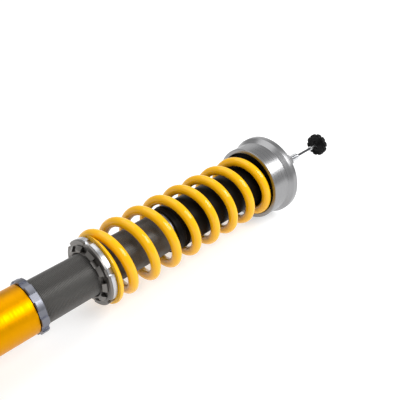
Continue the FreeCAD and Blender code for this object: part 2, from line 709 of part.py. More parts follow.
tapping.AttachmentSupport = [(plane_of(collar, "XY_Plane"), "")]
tapping.MapMode = "FlatFace"
hole = Part.Circle(FreeCAD.Vector(value("grubStation"), 0, 0), FreeCAD.Vector(0, 0, 1),
                   value("grubRadius + pressFit"))
tapping.addGeometry(hole)
tapping.addConstraint([
    Sketcher.Constraint("PointOnObject", 0, 3, -1),
    Sketcher.Constraint("DistanceX", -1, 1, 0, 3, value("grubStation")),
    Sketcher.Constraint("Radius", 0, value("grubRadius + pressFit"))])
tapping.setExpression("Constraints[1]", bound("grubStation"))
tapping.setExpression("Constraints[2]", bound("grubRadius + pressFit"))
tapped = collar.newObject("PartDesign::Pocket", "grub_hole_cut")
tapped.Profile = tapping
tapped.setExpression("Length", bound("2 * collarRadius"))
tapped.Reversed = True
collar.Tip = tapped
knob = turned("adjuster_knob", knobLow, """
    0, adjusterRadius + pressFit
    0, collarRadius + edge
    knobDish, knobDishRadius
    knobDish / 2, knobRadius - knobEdge
    knobEdge, knobRadius
    knobLength - knobEdge, knobRadius
    knobLength, knobRadius - knobEdge
    knobLength, 0
    adjusterInKnob + pressFit, 0
    adjusterInKnob + pressFit, adjusterRadius + pressFit""")
drilled(knob, "knobLobes", "lobeCut", "knobRadius + lobeCutDepth")

# Checks and export --------------------------------------------------------------------------

doc.recompute()
for item in doc.Objects:
    if "Invalid" in item.State or "Error" in item.State:
        raise RuntimeError(f"{item.Name} failed: {item.State}")
for piece in pieces:
    shape = piece.Shape
    if shape.isNull() or not shape.isValid() or not shape.Solids:
        raise RuntimeError(f"{piece.Label} has no valid solid")
    shape.exportStep(f"parts/{piece.Label}.step")
print(f"{len(pieces)} pieces written")
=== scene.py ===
import json
import math
from functools import partial

import bmesh
import bpy
from mathutils import Matrix, Vector


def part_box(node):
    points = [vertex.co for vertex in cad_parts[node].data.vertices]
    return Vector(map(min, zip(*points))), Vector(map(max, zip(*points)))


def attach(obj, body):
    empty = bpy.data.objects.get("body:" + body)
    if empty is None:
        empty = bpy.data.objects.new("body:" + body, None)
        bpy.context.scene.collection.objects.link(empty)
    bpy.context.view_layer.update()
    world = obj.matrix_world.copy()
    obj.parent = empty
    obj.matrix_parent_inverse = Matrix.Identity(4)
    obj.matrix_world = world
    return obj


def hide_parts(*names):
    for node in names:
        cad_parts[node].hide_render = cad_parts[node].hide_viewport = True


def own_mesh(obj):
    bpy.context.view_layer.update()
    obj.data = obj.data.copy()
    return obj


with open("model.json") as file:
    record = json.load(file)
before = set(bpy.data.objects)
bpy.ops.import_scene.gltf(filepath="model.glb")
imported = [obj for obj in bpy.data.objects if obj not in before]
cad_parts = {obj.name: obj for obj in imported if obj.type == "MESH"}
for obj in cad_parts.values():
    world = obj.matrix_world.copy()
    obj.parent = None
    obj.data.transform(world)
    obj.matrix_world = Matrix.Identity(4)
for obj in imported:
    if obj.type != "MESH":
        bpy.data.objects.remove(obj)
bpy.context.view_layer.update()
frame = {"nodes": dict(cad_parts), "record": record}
nodes = frame["nodes"]
mm = 0.001
print("frame loaded:", len(nodes), "nodes")


def span(node):
    # low end, high end and outer radius of a turned node
    low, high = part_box(node)
    return low.x, high.x, (high.y - low.y) / 2


axisHeight = (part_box("top_seat")[0].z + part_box("top_seat")[1].z) / 2


# camera, light and floor

camera = {"lens": 51.9, "sensor": 36, "nearest": 0.01, "place": (-0.3563, -0.4340, 0.4728),
          "right": (0.7056, -0.7087, 0.0), "up": (0.3872, 0.3855, 0.8375)}


def setCamera():
    data = bpy.data.cameras.new("camera")
    data.lens = camera["lens"]
    data.sensor_width = camera["sensor"]
    data.clip_start = camera["nearest"]
    right = Vector(camera["right"]).normalized()
    up = Vector(camera["up"]).normalized()
    back = right.cross(up)
    turn = Matrix((right, up, back)).transposed().to_4x4()
    eye = bpy.data.objects.new("camera", data)
    eye.matrix_world = Matrix.Translation(camera["place"]) @ turn
    bpy.context.scene.collection.objects.link(eye)
    bpy.context.scene.camera = eye


lamps = {
    "front": {"place": (0.76, -0.86, 1.06), "target": (0.76, 0.0, 0.05), "size": (1.5, 0.62),
              "power": 20},
    "top": {"place": (-0.10, 0.60, 1.50), "target": (0.0, 0.0, 0.05), "size": (1.8, 1.3),
            "power": 10},
    "back": {"place": (1.3, 1.2, 0.6), "target": (0.0, 0.0, 0.05), "size": (1.6, 0.9),
             "power": 2.5},
}


def areaLight(name, place, target, size, power):
    data = bpy.data.lights.new(name, "AREA")
    data.shape = "RECTANGLE"
    data.size, data.size_y = size
    data.energy = power
    lamp = bpy.data.objects.new(name, data)
    lamp.location = place
    lamp.rotation_euler = (Vector(target) - Vector(place)).to_track_quat("-Z", "Y").to_euler()
    bpy.context.scene.collection.objects.link(lamp)


studio = {"world": 0.52, "floor": 0.60, "floorSize": 12.0, "floorRough": 0.9, "glow": 0.50}


def setStudio():
    world = bpy.data.worlds.new("studio")
    world.use_nodes = True
    background = world.node_tree.nodes["Background"]
    background.inputs["Color"].default_value = (1, 1, 1, 1)
    background.inputs["Strength"].default_value = studio["world"]
    bpy.context.scene.world = world
    for name, lamp in lamps.items():
        areaLight(name, **lamp)
    bpy.context.scene.view_settings.view_transform = "Standard"


def makeFloor():
    # a pale sheet that glows a little, so that it shows hardly any shadow
    mesh = bpy.data.meshes.new("floor")
    half = studio["floorSize"] / 2
    corners = [(-half, -half, 0), (half, -half, 0), (half, half, 0), (-half, half, 0)]
    mesh.from_pydata(corners, [], [(0, 1, 2, 3)])
    floor = bpy.data.objects.new("floor", mesh)
    bpy.context.scene.collection.objects.link(floor)
    paper = bpy.data.materials.new("paper")
    paper.use_nodes = True
    shader = paper.node_tree.nodes["Principled BSDF"]
    shader.inputs["Base Color"].default_value = (*[studio["floor"]] * 3, 1)
    shader.inputs["Roughness"].default_value = studio["floorRough"]
    shader.inputs["Emission Color"].default_value = (1, 1, 1, 1)
    shader.inputs["Emission Strength"].default_value = studio["glow"]
    floor.data.materials.append(paper)


setCamera()
setStudio()
makeFloor()
print("camera and studio ready")


# shared shader groups: they put out masks, values and normals only


def newGroup(name, inputs, outputs):
    group = bpy.data.node_groups.new(name, "ShaderNodeTree")
    for label, kind, value in inputs:
        socket = group.interface.new_socket(label, in_out="INPUT", socket_type=f"NodeSocket{kind}")
        socket.default_value = value
    for label, kind in outputs:
        group.interface.new_socket(label, in_out="OUTPUT", socket_type=f"NodeSocket{kind}")
    start = group.nodes.new("NodeGroupInput")
    end = group.nodes.new("NodeGroupOutput")
    return group, start, end


def makeMath(group, operation, first, second=None):
    node = group.nodes.new("ShaderNodeMath")
    node.operation = operation
    for socket, source in zip(node.inputs, (first, second)):
        if source is None:
            continue
        if isinstance(source, (int, float)):
            socket.default_value = source
        else:
            group.links.new(source, socket)
    return node.outputs[0]


relief = {"ringDetail": 3.0, "ringDepth": 0.0002, "fineDetail": 2.0, "slowDetail": 4.0,
          "grainDepth": 0.0003}


def addNoise(group, detail):
    noise = group.nodes.new("ShaderNodeTexNoise")
    noise.inputs["Detail"].default_value = detail
    return noise


def bendNormal(group, start, end, height, depth):
    # the height stands out by the depth, in metres, as far as the group's Strength allows
    bump = group.nodes.new("ShaderNodeBump")
    bump.inputs["Distance"].default_value = depth
    group.links.new(start.outputs["Strength"], bump.inputs["Strength"])
    group.links.new(height, bump.inputs["Height"])
    group.links.new(bump.outputs[0], end.inputs["Normal"])


def turnedRings():
    # tool marks that run round the strut's axis: noise stretched along the circumference
    group, start, end = newGroup(
        "turnedRings",
        [("Marks Per Metre", "Float", 900.0), ("Strength", "Float", 0.1),
         ("Axis Height", "Float", 0.055)],
        [("Normal", "Vector"), ("Mask", "Float")])
    link = group.links.new
    place = group.nodes.new("ShaderNodeTexCoord")
    split = group.nodes.new("ShaderNodeSeparateXYZ")
    link(place.outputs["Object"], split.inputs[0])
    rise = makeMath(group, "SUBTRACT", split.outputs["Z"], start.outputs["Axis Height"])
    square = makeMath(group, "MULTIPLY", split.outputs["Y"], split.outputs["Y"])
    squareRise = makeMath(group, "MULTIPLY", rise, rise)
    radius = makeMath(group, "SQRT", makeMath(group, "ADD", square, squareRise))
    spot = group.nodes.new("ShaderNodeCombineXYZ")
    for source, label in ((split.outputs["X"], "X"), (radius, "Y")):
        link(makeMath(group, "MULTIPLY", source, start.outputs["Marks Per Metre"]),
             spot.inputs[label])
    noise = addNoise(group, relief["ringDetail"])
    noise.inputs["Scale"].default_value = 1.0
    link(spot.outputs[0], noise.inputs["Vector"])
    bendNormal(group, start, end, noise.outputs["Fac"], relief["ringDepth"])
    link(noise.outputs["Fac"], end.inputs["Mask"])
    return group


def surfaceGrain():
    # fine grain plus slow blotches for coats, rubber and moulded plastic
    group, start, end = newGroup(
        "surfaceGrain",
        [("Grain Scale", "Float", 1500.0), ("Blotch Scale", "Float", 30.0),
         ("Strength", "Float", 0.1)],
        [("Normal", "Vector"), ("Blotch", "Float")])
    link = group.links.new
    place = group.nodes.new("ShaderNodeTexCoord")
    fine = addNoise(group, relief["fineDetail"])
    slow = addNoise(group, relief["slowDetail"])
    for texture, label in ((fine, "Grain Scale"), (slow, "Blotch Scale")):
        link(place.outputs["Object"], texture.inputs["Vector"])
        link(start.outputs[label], texture.inputs["Scale"])
    bendNormal(group, start, end, fine.outputs["Fac"], relief["grainDepth"])
    link(slow.outputs["Fac"], end.inputs["Blotch"])
    return group


rings = turnedRings()
grain = surfaceGrain()


# finishes


def newMaterial(name, base, metallic, roughness):
    material = bpy.data.materials.new(name)
    material.use_nodes = True
    shader = material.node_tree.nodes["Principled BSDF"]
    shader.inputs["Base Color"].default_value = (*base, 1)
    shader.inputs["Metallic"].default_value = metallic
    shader.inputs["Roughness"].default_value = roughness
    return material, shader


def addGroup(material, group, values):
    node = material.node_tree.nodes.new("ShaderNodeGroup")
    node.node_tree = group
    for label, value in values.items():
        node.inputs[label].default_value = value
    return node


maskRange = {"low": 0.3, "high": 0.7}     # the noise hardly ever leaves this range


def shadeBetween(material, mask, socket, low, high):
    # carries a mask to a number or a colour between two limits
    if isinstance(low, tuple):
        mix = material.node_tree.nodes.new("ShaderNodeMix")
        mix.data_type = "RGBA"
        mix.inputs["A"].default_value = (*low, 1)
        mix.inputs["B"].default_value = (*high, 1)
        material.node_tree.links.new(mask, mix.inputs["Factor"])
        material.node_tree.links.new(mix.outputs["Result"], socket)
        return
    spread = material.node_tree.nodes.new("ShaderNodeMapRange")
    spread.inputs["From Min"].default_value = maskRange["low"]
    spread.inputs["From Max"].default_value = maskRange["high"]
    spread.inputs["To Min"].default_value = low
    spread.inputs["To Max"].default_value = high
    material.node_tree.links.new(mask, spread.inputs["Value"])
    material.node_tree.links.new(spread.outputs["Result"], socket)


def darker(colour, share):
    return tuple(channel * share for channel in colour)


def varySurface(material, shader, mask, look, change):
    # roughness and colour follow the mask, between shares of the look's own values
    shadeBetween(material, mask, shader.inputs["Roughness"],
                 look["rough"] * change["smooth"], look["rough"] * change["rough"])
    shadeBetween(material, mask, shader.inputs["Base Color"],
                 darker(look["base"], look.get("shade", change["shade"])), look["base"])


turnedChange = {"smooth": 0.85, "rough": 1.2, "shade": 0.93}


def turnedMetal(name, look):
    # metal with fine marks round its axis, as a lathe or a hone leaves them
    material, shader = newMaterial(name, look["base"], look.get("metal", 1.0), look["rough"])
    marks = addGroup(material, rings, {"Marks Per Metre": look["marks"],
                                       "Strength": look["strength"], "Axis Height": axisHeight})
    material.node_tree.links.new(marks.outputs["Normal"], shader.inputs["Normal"])
    varySurface(material, shader, marks.outputs["Mask"], look, turnedChange)
    return material


coatedChange = {"smooth": 0.88, "rough": 1.15, "shade": 0.92}


def coated(name, look):
    # paint, anodising, rubber or plastic with a fine grain and slow blotches
    material, shader = newMaterial(name, look["base"], 0.0, look["rough"])
    coat = addGroup(material, grain, {"Grain Scale": look["grain"], "Blotch Scale": look["blotch"],
                                      "Strength": look["strength"]})
    shader.inputs["Specular IOR Level"].default_value = look.get("shine", 0.5)
    shader.inputs["Coat Weight"].default_value = look.get("coat", 0)
    shader.inputs["Coat Roughness"].default_value = look.get("coatRough", 0.1)
    material.node_tree.links.new(coat.outputs["Normal"], shader.inputs["Normal"])
    varySurface(material, shader, coat.outputs["Blotch"], look, coatedChange)
    return material


turnedLooks = {
    "gold_anodised": {"base": (0.72, 0.315, 0.0), "rough": 0.44, "marks": 900.0,
                      "strength": 0.02},
    "turned_aluminium": {"base": (0.30, 0.30, 0.305), "rough": 0.30, "marks": 700.0,
                         "strength": 0.03},
    "bare_ring": {"base": (0.55, 0.56, 0.58), "rough": 0.26, "marks": 700.0, "strength": 0.03},
    "bare_aluminium": {"base": (0.60, 0.60, 0.61), "rough": 0.30, "marks": 900.0,
                       "strength": 0.10},
    "ring_grey": {"base": (0.20, 0.205, 0.235), "rough": 0.34, "marks": 900.0, "strength": 0.04},
    # perch_grey is painted shade: the perch is bare aluminium like the seat ring, darkened because
    # its turned near face reflects dark surroundings
    "perch_grey": {"base": (0.20, 0.19, 0.18), "rough": 0.38, "marks": 900.0, "strength": 0.04},
    "gland_grey": {"base": (0.30, 0.29, 0.28), "rough": 0.34, "marks": 900.0, "strength": 0.06},
    "body_black": {"base": (0.12, 0.116, 0.11), "rough": 0.40, "marks": 900.0, "strength": 0.03,
                   "metal": 0.7},
    "plain_steel": {"base": (0.50, 0.50, 0.51), "rough": 0.25, "marks": 900.0, "strength": 0.08},
    "bright_steel": {"base": (0.66, 0.67, 0.68), "rough": 0.20, "marks": 1000.0,
                     "strength": 0.04},
    "dark_steel": {"base": (0.07, 0.07, 0.075), "rough": 0.32, "marks": 900.0, "strength": 0.08},
    "chromed_rod": {"base": (0.66, 0.67, 0.69), "rough": 0.14, "marks": 1500.0, "strength": 0.02},
    "bronze": {"base": (0.50, 0.31, 0.13), "rough": 0.32, "marks": 900.0, "strength": 0.10},
}
coatedLooks = {
    "spring_paint": {"base": (0.92, 0.48, 0.0), "rough": 0.42, "grain": 420.0, "blotch": 24.0,
                     "strength": 0.03, "coat": 0.70, "coatRough": 0.06, "shade": 0.96,
                     "shine": 0.04},
    "bracket_coat": {"base": (0.022, 0.022, 0.024), "rough": 0.42, "grain": 900.0, "blotch": 30.0,
                     "strength": 0.18, "coat": 0.2, "coatRough": 0.3, "shine": 0.4},
    "seal_rubber": {"base": (0.006, 0.006, 0.006), "rough": 0.60, "grain": 1500.0,
                    "blotch": 40.0, "strength": 0.15, "shine": 0.15},
    "isolator_rubber": {"base": (0.003, 0.003, 0.003), "rough": 0.62, "grain": 1200.0,
                        "blotch": 40.0, "strength": 0.20, "shine": 0.08},
    "boot_rubber": {"base": (0.004, 0.0034, 0.003), "rough": 0.44, "grain": 1200.0,
                    "blotch": 25.0, "strength": 0.08, "shine": 0.08},
    "bump_foam": {"base": (0.03, 0.028, 0.024), "rough": 0.80, "grain": 700.0, "blotch": 60.0,
                  "strength": 0.50, "shine": 0.2},
    "knob_plastic": {"base": (0.003, 0.003, 0.0032), "rough": 0.36, "grain": 1800.0,
                     "blotch": 60.0, "strength": 0.12, "shine": 0.12},
    "ptfe_band": {"base": (0.06, 0.045, 0.03), "rough": 0.55, "grain": 1500.0, "blotch": 60.0,
                  "strength": 0.10},
}
finishes = {name: turnedMetal(name, look) for name, look in turnedLooks.items()}
finishes.update({name: coated(name, look) for name, look in coatedLooks.items()})
slotOf = {entry["node"]: entry["material_slot"] for entry in frame["record"]["subparts"]}
for name, node in nodes.items():
    node.data.materials.clear()
    node.data.materials.append(finishes[slotOf[name]])
print("finishes ready:", len(finishes))


# ways of making a mesh


def smooth(mesh, angle):
    # shades every face smooth and keeps edges that turn by more than the angle, in degrees
    mesh.polygons.foreach_set("use_smooth", [True] * len(mesh.polygons))
    mesh.set_sharp_from_angle(angle=math.radians(angle))


def outward(mesh, weld=1e-6):
    # merge doubles, then turn every face outwards
    work = bmesh.new()
    work.from_mesh(mesh)
    bmesh.ops.remove_doubles(work, verts=work.verts, dist=weld)
    bmesh.ops.recalc_face_normals(work, faces=work.faces)
    work.to_mesh(mesh)
    work.free()


def spunMesh(name, levels, steps=160, closed=True):
    # levels: (place along X, radius) in metres, or functions of the angle that give them;
    # a radius of 0 closes on the axis
    points, faces, rows = [], [], []
    for level in levels:
        if not callable(level) and level[1] == 0:
            rows.append([len(points)] * steps)
            points.append((level[0], 0, axisHeight))
            continue
        rows.append(list(range(len(points), len(points) + steps)))
        for step in range(steps):
            angle = 2 * math.pi * step / steps
            along, radius = level(angle) if callable(level) else level
            points.append((along, radius * math.cos(angle), axisHeight + radius * math.sin(angle)))
    if closed and len(set(rows[0])) > 1:
        rows.append(rows[0])
    for first, second in zip(rows, rows[1:]):
        for step in range(steps):
            after = (step + 1) % steps
            corners = [first[step], first[after], second[after], second[step]]
            face = [c for place, c in enumerate(corners) if c not in corners[:place]]
            if len(face) > 2:
                faces.append(face)
    mesh = bpy.data.meshes.new(name)
    mesh.from_pydata(points, [], faces)
    outward(mesh)
    return mesh


def rounded(low, outline, steps=5):
    # outline: (along, radius, rounding) in mm from low; each rounded corner becomes an arc
    path = []
    for index, (along, radius, rounding) in enumerate(outline):
        here = Vector((along, radius))
        if rounding == 0:
            path.append(here)
            continue
        before = (Vector(outline[index - 1][:2]) - here).normalized()
        after = (Vector(outline[(index + 1) % len(outline)][:2]) - here).normalized()
        half = before.angle(after) / 2
        centre = here + (before + after).normalized() * (rounding / math.sin(half))
        reach = rounding / math.tan(half)
        start = here + before * reach - centre
        finish = here + after * reach - centre
        path += [centre + start.slerp(finish, step / steps).normalized() * rounding
                 for step in range(steps + 1)]
    return [(low + point.x * mm, point.y * mm) for point in path]


def addPiece(name, mesh, body, slot, *replaced):
    mesh.materials.clear()
    mesh.materials.append(finishes[slot])
    piece = bpy.data.objects.new(name, mesh)
    bpy.context.scene.collection.objects.link(piece)
    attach(piece, body)
    if replaced:
        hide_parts(*replaced)
    return piece


edgeAngle = 40     # degrees; an edge that turns by more is rounded


def soften(piece, width, segments):
    # small rounds on every sharp edge, with shading that stays flat between them
    bevel = piece.modifiers.new("rounds", "BEVEL")
    bevel.width = width
    bevel.segments = segments
    bevel.limit_method = "ANGLE"
    bevel.angle_limit = math.radians(edgeAngle)
    bevel.harden_normals = True
    bevel.miter_outer = "MITER_ARC"
    smooth(piece.data, angle=180)


# geometry node helpers


def newTree(name, inputs):
    tree = bpy.data.node_groups.new(name, "GeometryNodeTree")
    for label, kind, value in inputs:
        socket = tree.interface.new_socket(label, in_out="INPUT", socket_type=f"NodeSocket{kind}")
        if value is not None:
            socket.default_value = value
    tree.interface.new_socket("Geometry", in_out="OUTPUT", socket_type="NodeSocketGeometry")
    return tree, tree.nodes.new("NodeGroupInput"), tree.nodes.new("NodeGroupOutput")


def clampMath(tree, source):
    node = tree.nodes.new("ShaderNodeClamp")
    tree.links.new(source, node.inputs["Value"])
    return node.outputs[0]


def placeAt(tree, x, y, z):
    spot = tree.nodes.new("ShaderNodeCombineXYZ")
    for socket, source in zip(spot.inputs, (x, y, z)):
        tree.links.new(source, socket)
    return spot.outputs[0]


def sums(tree):
    # the four sums that a tree needs most, bound to that tree
    return [partial(makeMath, tree, name) for name in ("ADD", "SUBTRACT", "MULTIPLY", "DIVIDE")]


def placeRound(tree, along, angle, radius, axis):
    # a point by its place along the strut, its angle round the axis and its distance from it
    add, _, multiply, _ = sums(tree)
    side = multiply(makeMath(tree, "COSINE", angle), radius)
    up = multiply(makeMath(tree, "SINE", angle), radius)
    return placeAt(tree, along, side, add(up, axis))


def closeTree(tree, end, geometry, material):
    realize = tree.nodes.new("GeometryNodeRealizeInstances")
    paint = tree.nodes.new("GeometryNodeSetMaterial")
    tree.links.new(geometry, realize.inputs[0])
    tree.links.new(realize.outputs[0], paint.inputs["Geometry"])
    tree.links.new(material, paint.inputs["Material"])
    tree.links.new(paint.outputs[0], end.inputs[0])


def runTree(tree, values, name):
    # evaluates a tree once and returns its result as a plain mesh
    carrier = bpy.data.objects.new(name, bpy.data.meshes.new(f"{name}Carrier"))
    bpy.context.scene.collection.objects.link(carrier)
    modifier = carrier.modifiers.new("maker", "NODES")
    modifier.node_group = tree
    for item in tree.interface.items_tree:
        if item.in_out == "INPUT" and item.name in values:
            modifier[item.identifier] = values[item.name]
    result = carrier.evaluated_get(bpy.context.evaluated_depsgraph_get())
    mesh = bpy.data.meshes.new_from_object(result)
    bpy.data.objects.remove(carrier)
    mesh.name = name
    return mesh


# main spring

coil = {"turns": 8.785, "closedTurns": 0.9, "topClosedTurns": 0.115, "coilRadius": 38.5 * mm,
        "wireRadius": 6 * mm, "closedGap": 0.6 * mm, "tipThickness": 3.6 * mm,
        "tipAngle": math.radians(77), "ease": 0.25, "stepsPerTurn": 80, "wireSides": 28}


def coilTree():
    tree, start, end = newTree("coilSpring", [
        ("Turns", "Float", 9.0), ("Closed Turns", "Float", 1.0),
        ("Top Closed Turns", "Float", 1.0), ("Coil Radius", "Float", 0.04),
        ("Wire Radius", "Float", 0.006), ("Open Pitch", "Float", 0.03),
        ("Closed Pitch", "Float", 0.0126), ("Ease", "Float", 0.25),
        ("Tip Rise", "Float", 0.0), ("Tip Angle", "Float", 0.0), ("Low End", "Float", 0.0),
        ("High End", "Float", 0.25), ("Axis Height", "Float", 0.05), ("Steps", "Int", 80),
        ("Sides", "Int", 24), ("Material", "Material", None)])
    add, subtract, multiply, divide = sums(tree)
    link = tree.links.new
    put = start.outputs
    line = tree.nodes.new("GeometryNodeMeshLine")
    steps = makeMath(tree, "ROUND", multiply(put["Turns"], put["Steps"]))
    link(add(steps, 1), line.inputs["Count"])
    path = tree.nodes.new("GeometryNodeMeshToCurve")
    link(line.outputs[0], path.inputs[0])
    share = divide(tree.nodes.new("GeometryNodeInputIndex").outputs[0], steps)
    turn = multiply(share, put["Turns"])

    def opened(begin):
        # how far the open pitch has acted once the turn count passes begin
        past = subtract(turn, begin)
        eased = clampMath(tree, add(divide(past, put["Ease"]), 0.5))
        half = multiply(put["Ease"], 0.5)
        bend = multiply(half, multiply(eased, eased))
        return add(bend, makeMath(tree, "MAXIMUM", subtract(past, half), 0))

    extra = subtract(put["Open Pitch"], put["Closed Pitch"])
    acting = subtract(opened(put["Closed Turns"]),
                      opened(subtract(put["Turns"], put["Top Closed Turns"])))
    rise = add(multiply(turn, put["Closed Pitch"]), multiply(extra, acting))
    along = add(add(put["Low End"], put["Tip Rise"]), rise)
    angle = add(put["Tip Angle"], multiply(turn, 2 * math.pi))
    bend = tree.nodes.new("GeometryNodeSetPosition")
    link(path.outputs[0], bend.inputs["Geometry"])
    link(placeRound(tree, along, angle, put["Coil Radius"], put["Axis Height"]),
         bend.inputs["Position"])
    circle = tree.nodes.new("GeometryNodeCurvePrimitiveCircle")
    link(put["Sides"], circle.inputs["Resolution"])
    link(put["Wire Radius"], circle.inputs["Radius"])
    tube = tree.nodes.new("GeometryNodeCurveToMesh")
    tube.inputs["Fill Caps"].default_value = True
    link(bend.outputs[0], tube.inputs["Curve"])
    link(circle.outputs[0], tube.inputs["Profile Curve"])
    grind = tree.nodes.new("GeometryNodeSetPosition")     # the ends are ground flat
    parts = tree.nodes.new("ShaderNodeSeparateXYZ")
    link(tree.nodes.new("GeometryNodeInputPosition").outputs[0], parts.inputs[0])
    flat = makeMath(tree, "MINIMUM", makeMath(tree, "MAXIMUM", parts.outputs["X"],
                                              put["Low End"]), put["High End"])
    link(tube.outputs[0], grind.inputs["Geometry"])
    link(placeAt(tree, flat, parts.outputs["Y"], parts.outputs["Z"]), grind.inputs["Position"])
    closeTree(tree, end, grind.outputs[0], put["Material"])
    return tree


def makeSpring():
    low, high, _ = span("main_spring")
    tipRise = coil["tipThickness"] - coil["wireRadius"]
    closed = 2 * coil["wireRadius"] + coil["closedGap"]
    closedTurns = coil["closedTurns"] + coil["topClosedTurns"]
    openPitch = (high - low - 2 * tipRise - closedTurns * closed) / (coil["turns"] - closedTurns)
    mesh = runTree(coilTree(), {
        "Turns": coil["turns"], "Closed Turns": coil["closedTurns"],
        "Top Closed Turns": coil["topClosedTurns"], "Coil Radius": coil["coilRadius"],
        "Wire Radius": coil["wireRadius"], "Open Pitch": openPitch, "Closed Pitch": closed,
        "Ease": coil["ease"], "Tip Rise": tipRise, "Tip Angle": coil["tipAngle"],
        "Low End": low, "High End": high, "Axis Height": axisHeight,
        "Steps": coil["stepsPerTurn"], "Sides": coil["wireSides"],
        "Material": finishes["spring_paint"]}, "mainSpring")
    outward(mesh)
    smooth(mesh, angle=50)
    spring = addPiece("mainSpring", mesh, "spring_seat", "spring_paint", "main_spring")
    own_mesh(spring)


makeSpring()
print("main spring made")


# damper body with its fine thread

bodyThread = {"start": 73 * mm, "length": 223.5 * mm, "pitch": 1.5 * mm, "depth": 0.65 * mm,
              "runout": 3 * mm, "around": 96, "perPitch": 6, "bore": 22.5 * mm,
              "edge": 0.8 * mm}
groove = {"slope": 1.5, "crest": 0.5}     # nothing over the crest, then a straight flank


def threadTree():
    # a sheet rolled into a sleeve, with a groove that climbs one pitch in each turn
    tree, start, end = newTree("threadSleeve", [
        ("Low End", "Float", 0.0), ("Length", "Float", 0.1), ("Radius", "Float", 0.025),
        ("Depth", "Float", 0.0006), ("Pitch", "Float", 0.0015), ("Runout", "Float", 0.003),
        ("Axis Height", "Float", 0.05), ("Around", "Int", 96), ("Per Pitch", "Int", 6),
        ("Material", "Material", None)])
    add, subtract, multiply, divide = sums(tree)
    link = tree.links.new
    put = start.outputs
    sheet = tree.nodes.new("GeometryNodeMeshGrid")
    sheet.inputs["Size X"].default_value = 1
    sheet.inputs["Size Y"].default_value = 1
    turns = divide(put["Length"], put["Pitch"])
    link(add(multiply(turns, put["Per Pitch"]), 1), sheet.inputs["Vertices X"])
    link(add(put["Around"], 1), sheet.inputs["Vertices Y"])
    parts = tree.nodes.new("ShaderNodeSeparateXYZ")
    link(tree.nodes.new("GeometryNodeInputPosition").outputs[0], parts.inputs[0])
    along = multiply(add(parts.outputs["X"], 0.5), put["Length"])
    lap = add(parts.outputs["Y"], 0.5)
    phase = makeMath(tree, "FRACT", subtract(divide(along, put["Pitch"]), lap))
    wave = makeMath(tree, "ABSOLUTE", subtract(multiply(phase, 2), 1))
    toEnd = makeMath(tree, "MINIMUM", along, subtract(put["Length"], along))
    fade = clampMath(tree, divide(toEnd, put["Runout"]))
    sunk = clampMath(tree, subtract(multiply(wave, groove["slope"]), groove["crest"]))
    cut = multiply(multiply(sunk, put["Depth"]), fade)
    angle = multiply(lap, 2 * math.pi)
    roll = tree.nodes.new("GeometryNodeSetPosition")
    link(sheet.outputs[0], roll.inputs["Geometry"])
    link(placeRound(tree, add(put["Low End"], along), angle, subtract(put["Radius"], cut),
                    put["Axis Height"]), roll.inputs["Position"])
    closeTree(tree, end, roll.outputs[0], put["Material"])
    return tree


threads = threadTree()


def threadedMesh(name, values, outline):
    # a threaded sleeve joined to the turned rest of its piece, whose outline is left open
    sleeve = runTree(threads, values, name)
    rest = spunMesh(f"{name}Rest", outline, steps=values["Around"], closed=False)
    whole = bmesh.new()
    whole.from_mesh(sleeve)
    whole.from_mesh(rest)
    whole.to_mesh(sleeve)
    whole.free()
    outward(sleeve, weld=2e-6)
    smooth(sleeve, angle=30)
    return sleeve


def makeBody():
    low, high, radius = span("damper_body")
    begin = low + bodyThread["start"]
    finish = begin + bodyThread["length"]
    edge, bore = bodyThread["edge"], bodyThread["bore"]
    mesh = threadedMesh("damperBody", {
        "Low End": begin, "Length": bodyThread["length"], "Radius": radius,
        "Depth": bodyThread["depth"], "Pitch": bodyThread["pitch"],
        "Runout": bodyThread["runout"], "Axis Height": axisHeight,
        "Around": bodyThread["around"], "Per Pitch": bodyThread["perPitch"],
        "Material": finishes["body_black"]},
        [(begin, radius), (low + edge, radius), (low, radius - edge), (low, bore),
         (high, bore), (high, radius), (finish, radius)])
    addPiece("damperBody", mesh, "damper", "body_black", "damper_body")


makeBody()
print("damper body made")


# turned pieces, each an outline in mm that is spun round the strut's axis

threadBore = 25.58     # of every piece that runs on the body's thread


def turnedPiece(name, node, body, outline, steps=160):
    mesh = spunMesh(name, rounded(span(node)[0], outline), steps)
    smooth(mesh, angle=30)
    addPiece(name, mesh, body, slotOf[node], node)


housing = {"length": 141.5, "radius": 28.4, "bore": threadBore, "floor": 8, "mouth": 0.9,
           "steps": 192}


def makeHousing():
    length, radius, floor = housing["length"], housing["radius"], housing["floor"]
    bore, mouth = housing["bore"], housing["mouth"]
    turnedPiece("lowerHousing", "lower_housing", "housing", [
        (0, 0, 0), (0, radius, 1.6), (length, radius, mouth), (length, bore + mouth, 0.15),
        (length - mouth, bore, 0.2), (floor, bore, 2), (floor, 0, 0)], housing["steps"])


spool = {"bore": 9.56, "hub": 26.2, "hubDrop": 8, "pocket": 21.5, "pocketDepth": 16.8,
         "recess": 45.2, "recessDepth": 10.3, "web": 11.5, "radius": 50.5, "cylinder": 26,
         "rim": 55.3, "flare": 7.2, "rimLength": 8, "topRecess": 45, "topHub": 21, "topRise": 4,
         "steps": 224}


